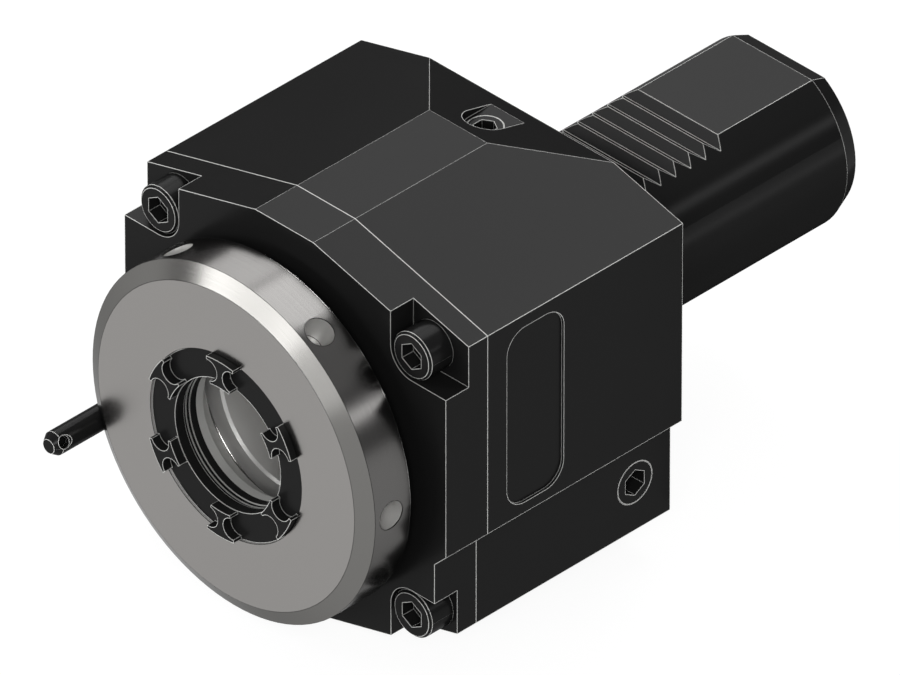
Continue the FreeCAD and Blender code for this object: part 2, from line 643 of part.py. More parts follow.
def tang_cuts():
    """The two flats of the drive tang."""
    y0 = SHANK_LENGTH + TANG_REACH - TANG_LENGTH
    y1 = SHANK_LENGTH + TANG_REACH + BREAKTHROUGH
    wide = TAIL_BORE
    upper = box(-wide, wide, y0, y1, TANG_FLATS / 2, wide)
    lower = box(-wide, wide, y0, y1, -wide, -TANG_FLATS / 2)
    return [upper, lower]


def snap_ring(outer, inner, y0, width):
    """An open ring: a flat ring with a gap at the top."""
    reach = 2 * outer
    half = math.radians(SNAP_OPENING_ANGLE / 2)
    wedge = front_prism([(0.0, 0.0), (-reach * math.sin(half), reach), (reach * math.sin(half), reach)],
                        y0 - BREAKTHROUGH, y0 + width + BREAKTHROUGH)
    return ring(outer, inner, y0, y0 + width).cut(wedge)


def shaft_snap_ring():
    """The ring that keeps the tail bearing on its journal."""
    inner = TAIL_JOURNAL_R - SHAFT_SNAP_DEPTH
    return snap_ring(inner + SHAFT_SNAP_WALL, inner, SHAFT_SNAP_Y, SHAFT_SNAP_WIDTH)


def tail_snap_ring():
    """The ring that keeps the tail seal in the shank."""
    outer = TAIL_R + TAIL_SNAP_DEPTH
    return snap_ring(outer, outer - TAIL_SNAP_WALL - TAIL_SNAP_DEPTH, TAIL_SNAP_Y, TAIL_SNAP_WIDTH)


def lug():
    """One lug on the nut's face: a ring sector with a round cut in the middle of each side."""
    half = LUG_WIDTH_ANGLE / 2
    inner = MOUTH_R + LUG_INSET
    top = NUT_Y - LUG_HEIGHT
    band = ring(NUT_R, inner, top, NUT_Y + BREAKTHROUGH)
    reach = 2 * NUT_R
    side = reach * math.tan(math.radians(half))
    wedge = front_prism([(0.0, 0.0), (reach, -side), (reach, side)], top, NUT_Y + BREAKTHROUGH)
    body = band.common(wedge)
    cutter = rod(LUG_CUT_DIAMETER / 2, top - BREAKTHROUGH, NUT_Y, LUG_CUT_CENTRE, 0.0)
    return body.cut([spun(cutter, half), spun(cutter, -half)])


def clamping_nut():
    """The nut that closes the collet: threaded barrel, lip, ring groove, cone and six lugs."""
    groove_r = MOUTH_R + EXTRACTOR_WALL + SEAT_GAP
    groove_end = EXTRACTOR_Y + EXTRACTOR_LENGTH + SEAT_GAP
    lip_end = NUT_Y + NUT_LIP
    throat_r = groove_r - NUT_CHAMFER
    barrel = turned([
        (MOUTH_R, NUT_Y), (NUT_R, NUT_Y), (NUT_R, NUT_END_Y - NUT_CHAMFER), (NUT_R - NUT_CHAMFER, NUT_END_Y),
        (throat_r + NUT_CONE_FLARE, NUT_END_Y), (throat_r, groove_end), (groove_r, groove_end),
        (groove_r, lip_end), (MOUTH_R, lip_end),
    ])
    lugs = around(lug(), LUG_COUNT, FULL_TURN / (2 * LUG_COUNT))
    return barrel.fuse(lugs).removeSplitter()


def extractor_ring():
    """The loose ring in the nut that draws the collet out, with two fine steps in its mouth."""
    outer = MOUTH_R + EXTRACTOR_WALL
    wide = MOUTH_R + 2 * EXTRACTOR_STEP_DEPTH
    middle = MOUTH_R + EXTRACTOR_STEP_DEPTH
    first = EXTRACTOR_Y + EXTRACTOR_STEP
    second = first + EXTRACTOR_STEP
    end = EXTRACTOR_Y + EXTRACTOR_LENGTH
    return turned([
        (wide, EXTRACTOR_Y), (outer, EXTRACTOR_Y), (outer, end), (MOUTH_R, end),
        (MOUTH_R, second), (middle, second), (middle, first), (wide, first),
    ])


def coolant_tube():
    """The coolant tube: closed tip with a side jet, collar and tail."""
    tail_r = TUBE_TAIL / 2
    collar_r = TUBE_COLLAR / 2
    tube = turned([
        (0.0, TUBE_TIP_Y), (TUBE_R - TUBE_TIP_DEPTH, TUBE_TIP_Y), (TUBE_R, TUBE_TIP_Y + TUBE_TIP_LENGTH),
        (TUBE_R, COLLAR_Y), (collar_r, COLLAR_Y), (collar_r, COLLAR_END_Y), (tail_r, COLLAR_END_Y),
        (tail_r, TUBE_END_Y), (0.0, TUBE_END_Y),
    ], TUBE_X, TUBE_Z)
    jet_y = TUBE_TIP_Y + TUBE_JET_BEHIND_TIP
    bore = rod(TUBE_BORE / 2, jet_y, TUBE_END_Y + BREAKTHROUGH, TUBE_X, TUBE_Z)
    aim = Vector(math.cos(math.radians(TUBE_JET_ANGLE)), 0, math.sin(math.radians(TUBE_JET_ANGLE)))
    start = Vector(TUBE_X, jet_y, TUBE_Z)
    jet = Part.makeCylinder(TUBE_JET / 2, TUBE_DIAMETER, start, aim)
    sink_start = start + aim * (TUBE_R - TUBE_JET_SINK_DEPTH)
    sink_end_r = TUBE_JET_SINK / 2 + TUBE_JET_SINK_DEPTH
    sink = Part.makeCone(TUBE_JET / 2, sink_end_r, 2 * TUBE_JET_SINK_DEPTH, sink_start, aim)
    ring_y = COLLAR_END_Y + TUBE_RING_BEHIND_COLLAR
    groove_r = tube_ring_radius() - TUBE_RING_CORD / 2
    groove = ring(TUBE_R + BREAKTHROUGH, groove_r, ring_y - TUBE_RING_CORD / 2, ring_y + TUBE_RING_CORD / 2,
                  TUBE_X, TUBE_Z)
    return tube.cut([bore, jet, sink, groove])


def tube_ring_radius():
    """The mean radius of the ring that seals the tube in its socket."""
    return TUBE_TAIL / 2 + SOCKET_GAP - TUBE_RING_CORD / 2 - SLIDE_GAP


def coolant_tube_o_ring():
    """The seal ring on the tube's tail."""
    return o_ring(tube_ring_radius(), TUBE_RING_CORD, COLLAR_END_Y + TUBE_RING_BEHIND_COLLAR, TUBE_X, TUBE_Z)


def coolant_inlet_o_ring():
    """The seal ring round the coolant inlet, pressed flush with the rear face as when it is seated."""
    return o_ring(inlet_ring_radius(), INLET_RING_CORD, -INLET_RING_CORD / 2, TUBE_X, TUBE_Z)


def shank_o_ring():
    """The seal ring round the root of the shank, pressed flush with the rear face as when it is seated."""
    radius = SHANK_R + SHANK_RING_FROM_SHANK + SEAT_GAP + SHANK_RING_CORD / 2
    return o_ring(radius, SHANK_RING_CORD, -SHANK_RING_CORD / 2)


def top_plug():
    """The socket plug in the pocket on top."""
    place = Vector(0, -TOP_PLUG_BEHIND, POCKET_FLOOR_Z - TOP_PLUG_LENGTH)
    plug = Part.makeCylinder(TOP_PLUG_DIAMETER / 2, TOP_PLUG_LENGTH, place)
    socket_place = Vector(0, -TOP_PLUG_BEHIND, POCKET_FLOOR_Z - TOP_PLUG_HEX_DEPTH)
    socket = hexagon(TOP_PLUG_HEX, TOP_PLUG_HEX_DEPTH, socket_place, Vector(0, 0, 1))
    return plug.cut(socket)


def side_plug():
    """The socket plug low in the right side."""
    place = Vector(STEP_X - SIDE_PLUG_LENGTH, -SIDE_PLUG_BEHIND, -SIDE_PLUG_BELOW)
    plug = Part.makeCylinder(SIDE_PLUG_DIAMETER / 2, SIDE_PLUG_LENGTH, place, Vector(1, 0, 0))
    socket_place = Vector(STEP_X - SIDE_PLUG_HEX_DEPTH, -SIDE_PLUG_BEHIND, -SIDE_PLUG_BELOW)
    return plug.cut(hexagon(SIDE_PLUG_HEX, SIDE_PLUG_HEX_DEPTH, socket_place, Vector(1, 0, 0)))


def bearing_pieces(pieces, name, y0):
    """Adds the four pieces of one spindle bearing that starts at y0."""
    middle = y0 + BEARING_WIDTH / 2
    pieces[name + "_outer_ring"] = race(BORE_R, OUTER_RING_R, y0, BEARING_WIDTH, PITCH_R, BEARING_BALL)
    pieces[name + "_inner_ring"] = race(INNER_RING_R, JOURNAL_R, y0, BEARING_WIDTH, PITCH_R, BEARING_BALL)
    pieces[name + "_balls"] = balls(BEARING_BALL_COUNT, BEARING_BALL, PITCH_R, middle)
    pieces[name + "_cage"] = cage(BEARING_BALL_COUNT, BEARING_BALL, PITCH_R, BEARING_CAGE_WALL,
                                  BEARING_CAGE_WIDTH, middle)


def tail_bearing_pieces(pieces):
    """Adds the four pieces of the tail bearing."""
    middle = TAIL_BEARING_Y + TAIL_WIDTH / 2
    outer_race_r = TAIL_PITCH_R + TAIL_RING_GAP
    inner_race_r = TAIL_PITCH_R - TAIL_RING_GAP
    pieces["tail_bearing_outer_ring"] = race(TAIL_R, outer_race_r, TAIL_BEARING_Y, TAIL_WIDTH, TAIL_PITCH_R,
                                             TAIL_BALL)
    pieces["tail_bearing_inner_ring"] = race(inner_race_r, TAIL_JOURNAL_R, TAIL_BEARING_Y, TAIL_WIDTH,
                                             TAIL_PITCH_R, TAIL_BALL)
    pieces["tail_bearing_balls"] = balls(TAIL_BALL_COUNT, TAIL_BALL, TAIL_PITCH_R, middle)
    pieces["tail_bearing_cage"] = cage(TAIL_BALL_COUNT, TAIL_BALL, TAIL_PITCH_R, TAIL_CAGE_WALL,
                                       TAIL_CAGE_WIDTH, middle)


def all_pieces():
    """Every piece of the tool holder by its name."""
    pieces = {
        "housing": housing(),
        "front_cover": front_cover(),
        "cover_screws": cover_screws(),
        "cover_o_ring": cover_o_ring(),
        "front_shaft_seal": front_shaft_seal(),
        "tail_shaft_seal": tail_shaft_seal(),
        "tail_snap_ring": tail_snap_ring(),
        "grease_plug": top_plug(),
        "side_plug": side_plug(),
        "shank_o_ring": shank_o_ring(),
        "coolant_inlet_o_ring": coolant_inlet_o_ring(),
        "spindle": spindle(),
        "outer_spacer_ring": ring(BORE_R, BORE_R - SPACER_WALL, SPACER_Y, SECOND_BEARING_Y),
        "inner_spacer_ring": ring(JOURNAL_R + SPACER_WALL, JOURNAL_R, SPACER_Y, SECOND_BEARING_Y),
        "spindle_lock_nut": lock_nut(),
        "lock_nut_set_screw": lock_nut_set_screw(),
        "shaft_snap_ring": shaft_snap_ring(),
        "clamping_nut": clamping_nut(),
        "extractor_ring": extractor_ring(),
        "coolant_tube": coolant_tube(),
        "coolant_tube_o_ring": coolant_tube_o_ring(),
    }
    bearing_pieces(pieces, "front_bearing", FRONT_BEARING_Y)
    bearing_pieces(pieces, "second_bearing", SECOND_BEARING_Y)
    tail_bearing_pieces(pieces)
    return pieces


def main():
    os.makedirs("parts", exist_ok=True)
    for name, shape in all_pieces().items():
        shape.exportStep("parts/" + name + ".step")
        print(name, "solids", len(shape.Solids), "valid", shape.isValid(), "volume", round(shape.Volume, 1))


main()
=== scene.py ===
import math

import bpy
from bpy.props import FloatProperty, FloatVectorProperty, PointerProperty
from mathutils import Matrix, Vector


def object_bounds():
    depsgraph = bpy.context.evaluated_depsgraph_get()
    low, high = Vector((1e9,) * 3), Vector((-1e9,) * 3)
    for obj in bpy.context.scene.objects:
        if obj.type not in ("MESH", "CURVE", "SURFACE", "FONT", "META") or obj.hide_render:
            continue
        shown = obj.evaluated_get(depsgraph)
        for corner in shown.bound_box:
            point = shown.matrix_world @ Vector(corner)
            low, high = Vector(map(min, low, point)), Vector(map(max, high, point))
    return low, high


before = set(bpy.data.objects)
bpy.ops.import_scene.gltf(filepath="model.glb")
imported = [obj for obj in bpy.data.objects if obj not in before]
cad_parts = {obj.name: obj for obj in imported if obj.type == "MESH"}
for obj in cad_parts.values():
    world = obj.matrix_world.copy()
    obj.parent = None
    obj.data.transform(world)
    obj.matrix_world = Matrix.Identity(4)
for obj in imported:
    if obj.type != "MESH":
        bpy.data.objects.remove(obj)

bl_info = {
    "name": "Driven Tool Holder",
    "version": (1, 0, 0),
    "blender": (4, 5, 0),
    "location": "3D View > Sidebar > Tool Holder",
    "description": "Finishes, floor, light and camera for an axial driven tool holder",
    "category": "Object",
}

MM = 0.001
CAD_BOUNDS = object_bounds()
FLOOR_Z = CAD_BOUNDS[0][2]

HOUSING_NODES = ("housing", "front_cover")
NUT_NODES = ("clamping_nut", "extractor_ring")
SCREW_NODES = ("cover_screws", "grease_plug", "side_plug", "lock_nut_set_screw")
TURNED_NODES = ("outer_spacer_ring", "inner_spacer_ring", "spindle_lock_nut")
SNAP_NODES = ("tail_snap_ring", "shaft_snap_ring")
SEAL_NODES = ("cover_o_ring", "front_shaft_seal", "tail_shaft_seal", "shank_o_ring",
              "coolant_inlet_o_ring", "coolant_tube_o_ring")
BEARING_NAMES = ("front_bearing", "second_bearing", "tail_bearing")

# Places on the spindle and the nut, measured along the axis from the seating face and out from the axis.
NOSE_FACE_Y = -77.98 * MM
CHAMFER_END_Y = -76.0 * MM
BACK_EDGE_Y = -67.3 * MM
HOLE_START_Y = -75.6 * MM
HOLE_END_Y = -67.2 * MM
RIM_FLOOR_R = 37.3 * MM
BORE_R = 20.6 * MM
GROUND_SEAT_Y = -72.0 * MM
GROUND_SEAT_R = 18.0 * MM

# The nose's front chamfer in millimetres, along the axis and in depth, and the normal of the rack's flanks
# that face the nose, along the axis and up.
CHAMFER_LENGTH = 2.0
CHAMFER_DEPTH = 3.5
RACK_FLANK_ALONG = -0.737
RACK_FLANK_UP = 0.676

# How far the rounded normal turns from the flat one where the rubbed edge starts and where it is full.
EDGE_START = 0.0015
EDGE_FULL = 0.009

# Roughness of each surface, from 0 for a mirror to 1 for chalk, and how much the marks change it.
MILLED_OXIDE_ROUGHNESS = 0.22
OXIDE_ROUGHNESS = 0.26
RUBBED_ROUGHNESS = 0.65
GROUND_ROUGHNESS = 0.18
BORE_ROUGHNESS = 0.34
MARK_GLOSS = 0.06
BRIGHT_MARK_GLOSS = 0.12
RUBBER_LEAST_ROUGH = 0.5
RUBBER_MOST_ROUGH = 0.7

# How deep the marks look, and how strong their relief is.
OXIDE_MARK_DEPTH = 0.004 * MM
GROUND_MARK_DEPTH = 0.002 * MM
PEEL_DEPTH = 0.01 * MM
MARK_RELIEF = 0.2
PEEL_RELIEF = 0.3

# A drawn tube's marks are twenty times as long as they are wide.
DRAWN_SQUEEZE = 0.05

# The bore's oily satin is half metal to the eye, and the oil halves the metal's grazing shine.
BORE_METAL = 0.5
GRAZING_TINT = 0.5

CAMERA_BACK = Vector((1.0, -1.0, 1.0)).normalized()
CAMERA_AIM = Vector((0.0, -18.9 * MM, -4.7 * MM))
CAMERA_LENS = 1200
CAMERA_SENSOR = 36
CAMERA_REACH = 60

# The floor's grey where it only passes light on, and where it is seen and takes the object's shadow.
BOARD_GREY = 0.25
SHADOW_GREY = 0.12

# Two glowing sheets on the floor that show only in the shank's reflection, as painted reflections there: a
# dark card for painted shade and a strip for a painted highlight. Their corners, lift and brightness.
CARD_CORNERS = ((-0.04, 0.01), (0.05, 0.01), (0.26, 0.22), (0.26, 0.45), (0.07, 0.13), (-0.04, 0.13))
CARD_LIFT = 0.3 * MM
CARD_DARKEST = 0.08
CARD_LIGHTEST = 0.8
CARD_FADE = 80 * MM
STRIP_CORNERS = ((0.17, 0.09), (0.33, 0.2), (0.33, 0.55), (0.17, 0.45))
STRIP_LIFT = 0.6 * MM
STRIP_GLOW = 3.0


def linear(hex_colour):
    """The linear red, green and blue of an sRGB hex colour."""
    channels = [int(hex_colour[place:place + 2], 16) / 255 for place in (1, 3, 5)]
    return [value / 12.92 if value <= 0.04045 else ((value + 0.055) / 1.055) ** 2.4 for value in channels]


def rgba(colour):
    """A colour with full alpha, as a node socket takes it."""
    return [*colour, 1.0]


def add(tree, kind, inputs=None, **settings):
    """Adds a node, sets its properties, then fills or links its inputs, which are named or numbered."""
    made = tree.nodes.new(kind)
    for name, value in settings.items():
        setattr(made, name, value)
    for key, value in (inputs or {}).items():
        if isinstance(value, bpy.types.NodeSocket):
            tree.links.new(value, made.inputs[key])
        else:
            made.inputs[key].default_value = value
    return made


def new_material(name):
    """An empty material and its node tree."""
    material = bpy.data.materials.new(name)
    material.use_nodes = True
    material.node_tree.nodes.clear()
    return material, material.node_tree


def edge_wear(tree, width):
    """1 on an edge and 0 off it: 1 less the cosine between the surface and its rounded normal, spread
    out."""
    rounded = add(tree, "ShaderNodeBevel", {"Radius": width}, samples=8).outputs["Normal"]
    flat = add(tree, "ShaderNodeNewGeometry").outputs["Normal"]
    sides = {0: rounded, 1: flat}
    cosine = add(tree, "ShaderNodeVectorMath", sides, operation="DOT_PRODUCT").outputs["Value"]
    turned = add(tree, "ShaderNodeMath", {0: 1.0, 1: cosine}, operation="SUBTRACT").outputs[0]
    spread = {"Value": turned, "From Min": EDGE_START, "From Max": EDGE_FULL}
    return add(tree, "ShaderNodeMapRange", spread).outputs["Result"]


def axis_and_radius(tree, places):
    """The place along the spindle axis, and the distance from it."""
    split = add(tree, "ShaderNodeSeparateXYZ", {"Vector": places}).outputs
    across = add(tree, "ShaderNodeCombineXYZ", {"X": split["X"], "Z": split["Z"]}).outputs["Vector"]
    return split["Y"], add(tree, "ShaderNodeVectorMath", {0: across}, operation="LENGTH").outputs["Value"]


def tool_marks(tree, places, spacing, way):
    """The marks of the last cut, 0 to 1: milled ones lie across the axis, turned ones are rings, drawn ones
    run along it, and headed ones are the grain that a die leaves."""
    along, radius = axis_and_radius(tree, places)
    if way == "milled":
        lines = {"W": along, "Scale": 1 / spacing, "Detail": 2.0, "Roughness": 0.6}
        return add(tree, "ShaderNodeTexNoise", lines, noise_dimensions="1D").outputs["Fac"]
    if way == "turned":
        spread = add(tree, "ShaderNodeMath", {0: radius, 1: along}, operation="ADD").outputs[0]
        rings = {"W": spread, "Scale": 1 / spacing, "Detail": 3.0}
        return add(tree, "ShaderNodeTexNoise", rings, noise_dimensions="1D").outputs["Fac"]
    stretch = (1.0, DRAWN_SQUEEZE, 1.0) if way == "drawn" else (1.0, 1.0, 1.0)
    streaks = add(tree, "ShaderNodeMapping", {"Vector": places, "Scale": stretch}).outputs["Vector"]
    grain = {"Vector": streaks, "Scale": 1 / spacing, "Detail": 2.0}
    return add(tree, "ShaderNodeTexNoise", grain).outputs["Fac"]


def black_oxide_steel(name, way, spacing, roughness, ground_seat=False):
    """Steel with a hot black oxide finish. The oxide is a thin dark skin that keeps the cut's fine marks, so
    the eye sees near-black faces with a faint grain, cloudy where the bath took unevenly, a low sheen from
    the film of oil that seals it, and thin bright lines where handling has rubbed the edges back to bare
    steel. The nut's cone and the back of its ring, which touch the collet, are ground bright again after
    the bath."""
    finish = bpy.context.scene.holder_finish
    material, tree = new_material(name)
    places = add(tree, "ShaderNodeTexCoord").outputs["Object"]
    wear = edge_wear(tree, finish.edge_width)
    if ground_seat:
        along, radius = axis_and_radius(tree, places)
        deep = add(tree, "ShaderNodeMath", {0: along, 1: GROUND_SEAT_Y}, operation="GREATER_THAN").outputs[0]
        near = add(tree, "ShaderNodeMath", {0: radius, 1: GROUND_SEAT_R}, operation="LESS_THAN").outputs[0]
        seat = add(tree, "ShaderNodeMath", {0: deep, 1: near}, operation="MULTIPLY").outputs[0]
        wear = add(tree, "ShaderNodeMath", {0: wear, 1: seat}, operation="MAXIMUM").outputs[0]
    marks = tool_marks(tree, places, spacing, way)
    clouds = {"Vector": places, "Scale": 1 / finish.cloud_size, "Detail": 3.0}
    cloud = add(tree, "ShaderNodeTexNoise", clouds).outputs["Fac"]
    oxide = {"Factor": cloud, 6: rgba(finish.oxide_dark), 7: rgba(finish.oxide_light)}
    skin = add(tree, "ShaderNodeMix", oxide, data_type="RGBA").outputs[2]
    worn = {"Factor": wear, 6: skin, 7: rgba(finish.rubbed_edge)}
    shade = add(tree, "ShaderNodeMix", worn, data_type="RGBA").outputs[2]
    dulling = {"Value": wear, "To Min": roughness - MARK_GLOSS / 2, "To Max": RUBBED_ROUGHNESS}
    gloss = add(tree, "ShaderNodeMapRange", dulling).outputs["Result"]
    grain = add(tree, "ShaderNodeMath", {0: marks, 1: MARK_GLOSS, 2: gloss}, operation="MULTIPLY_ADD")
    relief = add(tree, "ShaderNodeBump", {
        "Strength": MARK_RELIEF, "Distance": OXIDE_MARK_DEPTH, "Height": marks})
    shader = add(tree, "ShaderNodeBsdfPrincipled", {
        "Base Color": shade, "Roughness": grain.outputs[0], "Metallic": wear, "Specular IOR Level": 0.0,
        "Normal": relief.outputs["Normal"], "Coat Weight": finish.oil_film, "Coat Roughness": roughness})
    add(tree, "ShaderNodeOutputMaterial", {"Surface": shader.outputs["BSDF"]})
    return material


def ground_spindle_steel():
    """Case-hardened steel, ground and left bright. The wheel leaves fine rings, so the eye sees a grey nose
    face with a soft even sheen and dark oily lines at the edges. The rim and chamfer, which mirror in
    bands, are painted darker than the face, as painted shade for darker reflections. The bore and the
    spanner holes are a satin painted lighter than the face, as painted light in these hollows. The drive
    tang at the other end has the face's grey."""
    finish = bpy.context.scene.holder_finish
    material, tree = new_material("case_hardened_steel_ground")
    places = add(tree, "ShaderNodeTexCoord").outputs["Object"]
    along, radius = axis_and_radius(tree, places)
    rings = tool_marks(tree, places, finish.ring_spacing, "turned")
    edge = edge_wear(tree, finish.edge_width)

    behind = add(tree, "ShaderNodeMath", {0: along, 1: NOSE_FACE_Y}, operation="GREATER_THAN").outputs[0]
    before_tail = add(tree, "ShaderNodeMath", {0: along, 1: 0.0}, operation="LESS_THAN").outputs[0]
    off_face = add(tree, "ShaderNodeMath", {0: before_tail, 1: behind}, operation="MULTIPLY").outputs[0]
    near_axis = add(tree, "ShaderNodeMath", {0: radius, 1: BORE_R}, operation="LESS_THAN").outputs[0]
    bore = add(tree, "ShaderNodeMath", {0: off_face, 1: near_axis}, operation="MULTIPLY").outputs[0]

    past = add(tree, "ShaderNodeMath", {0: along, 1: HOLE_START_Y}, operation="GREATER_THAN").outputs[0]
    before = add(tree, "ShaderNodeMath", {0: along, 1: HOLE_END_Y}, operation="LESS_THAN").outputs[0]
    band = add(tree, "ShaderNodeMath", {0: past, 1: before}, operation="MULTIPLY").outputs[0]
    under_rim = add(tree, "ShaderNodeMath", {0: radius, 1: RIM_FLOOR_R}, operation="LESS_THAN").outputs[0]
    hole = add(tree, "ShaderNodeMath", {0: band, 1: under_rim}, operation="MULTIPLY").outputs[0]
    inside = add(tree, "ShaderNodeMath", {0: bore, 1: hole}, operation="MAXIMUM").outputs[0]

    on_rim = add(tree, "ShaderNodeMath", {0: along, 1: CHAMFER_END_Y}, operation="GREATER_THAN").outputs[0]
    # Painted shade: the chamfer and the rim get darker copies of the face's grey, for darker reflections.
    rim = {"Factor": on_rim, 6: rgba(finish.nose_chamfer_painted_shade), 7: rgba(finish.nose_rim_painted_shade)}
    turned = add(tree, "ShaderNodeMix", rim, data_type="RGBA").outputs[2]
    face = {"Factor": off_face, 6: rgba(finish.nose_face), 7: turned}
    outside = add(tree, "ShaderNodeMix", face, data_type="RGBA").outputs[2]
    # Painted light: the bore and the spanner holes get a colour lighter than the face, standing in for light
    # in these hollows.
    bore_painted_light = {"Factor": inside, 6: outside, 7: rgba(finish.bore)}
    skin = add(tree, "ShaderNodeMix", bore_painted_light, data_type="RGBA").outputs[2]
    at_back = add(tree, "ShaderNodeMath", {0: along, 1: BACK_EDGE_Y}, operation="GREATER_THAN").outputs[0]
    lines = {"Factor": at_back, 6: rgba(finish.oily_edge), 7: rgba(finish.rubbed_edge)}
    line = add(tree, "ShaderNodeMix", lines, data_type="RGBA").outputs[2]
    shade = add(tree, "ShaderNodeMix", {"Factor": edge, 6: skin, 7: line}, data_type="RGBA").outputs[2]

    metal = add(tree, "ShaderNodeMapRange", {"Value": inside, "To Min": 1.0, "To Max": BORE_METAL})
    gloss = add(tree, "ShaderNodeMapRange", {
        "Value": inside, "To Min": GROUND_ROUGHNESS, "To Max": BORE_ROUGHNESS}).outputs["Result"]
    grain = add(tree, "ShaderNodeMath", {0: rings, 1: MARK_GLOSS, 2: gloss}, operation="MULTIPLY_ADD")
    relief = add(tree, "ShaderNodeBump", {
        "Strength": MARK_RELIEF, "Distance": GROUND_MARK_DEPTH, "Height": rings})
    shader = add(tree, "ShaderNodeBsdfPrincipled", {
        "Base Color": shade, "Roughness": grain.outputs[0], "Metallic": metal.outputs["Result"],
        "Normal": relief.outputs["Normal"], "Specular Tint": rgba([GRAZING_TINT] * 3)})
    add(tree, "ShaderNodeOutputMaterial", {"Surface": shader.outputs["BSDF"]})
    return material


def bright_metal(name, colour, roughness, spacing, way):
    """Bare metal, turned, ground or lapped. Its colour is even, and its gloss changes finely with the marks
    of the cut, so that a reflection looks drawn out across them."""
    material, tree = new_material(name)
    places = add(tree, "ShaderNodeTexCoord").outputs["Object"]
    marks = tool_marks(tree, places, spacing, way)
    change = {0: marks, 1: BRIGHT_MARK_GLOSS, 2: roughness - BRIGHT_MARK_GLOSS / 2}
    grain = add(tree, "ShaderNodeMath", change, operation="MULTIPLY_ADD")
    relief = add(tree, "ShaderNodeBump", {
        "Strength": MARK_RELIEF, "Distance": GROUND_MARK_DEPTH, "Height": marks})
    shader = add(tree, "ShaderNodeBsdfPrincipled", {
        "Base Color": rgba(linear(colour)), "Roughness": grain.outputs[0], "Metallic": 1.0,
        "Normal": relief.outputs["Normal"]})
    add(tree, "ShaderNodeOutputMaterial", {"Surface": shader.outputs["BSDF"]})
    return material


def moulded_nitrile(colour, peel_size):
    """Nitrile rubber, moulded. A near-black soft matt with the fine orange-peel grain of the mould."""
    material, tree = new_material("nitrile_rubber_moulded")
    places = add(tree, "ShaderNodeTexCoord").outputs["Object"]
    bumps = {"Vector": places, "Scale": 1 / peel_size, "Detail": 2.0}
    peel = add(tree, "ShaderNodeTexNoise", bumps).outputs["Fac"]
    gloss = add(tree, "ShaderNodeMapRange", {
        "Value": peel, "To Min": RUBBER_LEAST_ROUGH, "To Max": RUBBER_MOST_ROUGH})
    relief = add(tree, "ShaderNodeBump", {"Strength": PEEL_RELIEF, "Distance": PEEL_DEPTH, "Height": peel})
    shader = add(tree, "ShaderNodeBsdfPrincipled", {
        "Base Color": rgba(linear(colour)), "Roughness": gloss.outputs["Result"], "Specular IOR Level": 0.3,
        "Normal": relief.outputs["Normal"]})
    add(tree, "ShaderNodeOutputMaterial", {"Surface": shader.outputs["BSDF"]})
    return material


def dress(material, *nodes):
    """Gives CAD nodes a material."""
    for name in nodes:
        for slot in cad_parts[name].material_slots:
            slot.material = material


class FinishSettings(bpy.types.PropertyGroup):
    oxide_dark: FloatVectorProperty(
        name="Oxide, dark", description="Black oxide where the bath took best",
        default=linear("#161616"), subtype="COLOR", min=0.0, max=1.0)
    oxide_light: FloatVectorProperty(
        name="Oxide, light", description="Black oxide where the bath took least",
        default=linear("#1a1a1a"), subtype="COLOR", min=0.0, max=1.0)
    rubbed_edge: FloatVectorProperty(
        name="Rubbed edge", description="Bare steel on the rubbed edges and the nut's ground seat",
        default=linear("#d4d4d2"), subtype="COLOR", min=0.0, max=1.0)
    oily_edge: FloatVectorProperty(
        name="Oily edge", description="Dark line on the edges of the ground nose",
        default=linear("#222221"), subtype="COLOR", min=0.0, max=1.0)
    nose_face: FloatVectorProperty(
        name="Nose face", description="Ground nose face and drive tang of the spindle",
        default=linear("#918f8d"), subtype="COLOR", min=0.0, max=1.0)
    # Painted shade: the chamfer and rim colours are darker copies of the nose face's grey, for darker
    # reflections.
    nose_chamfer_painted_shade: FloatVectorProperty(
        name="Nose chamfer", description="Front chamfer of the spindle nose",
        default=linear("#71706e"), subtype="COLOR", min=0.0, max=1.0)
    nose_rim_painted_shade: FloatVectorProperty(
        name="Nose rim", description="Rim of the spindle nose",
        default=linear("#5f5e5d"), subtype="COLOR", min=0.0, max=1.0)
    # Painted light: the bore colour is lighter than the face's grey, standing in for light in the bore and
    # spanner holes.
    bore: FloatVectorProperty(
        name="Bore", description="Collet seat, bore and spanner holes",
        default=linear("#cccbc9"), subtype="COLOR", min=0.0, max=1.0)
    oil_film: FloatProperty(
        name="Oil film", description="How much of the black oxide the sealing oil covers",
        default=0.16, min=0.0, max=1.0, subtype="FACTOR")
    edge_width: FloatProperty(
        name="Edge width", description="How wide the rubbed edges are",
        default=0.18 * MM, min=0.0, max=2.0 * MM, precision=5, unit="LENGTH")
    cloud_size: FloatProperty(
        name="Cloud size", description="Size of the clouds in the black oxide",
        default=25 * MM, min=1 * MM, max=1.0, precision=4, unit="LENGTH")
    mark_spacing: FloatProperty(
        name="Cutter marks", description="Spacing of the milling cutter's marks",
        default=0.6 * MM, min=0.05 * MM, max=0.1, precision=5, unit="LENGTH")
    ring_spacing: FloatProperty(
        name="Grinding rings",
        description="Spacing of the grinding rings, drawn coarser than real ones so that they show",
        default=0.5 * MM, min=0.05 * MM, max=0.1, precision=5, unit="LENGTH")


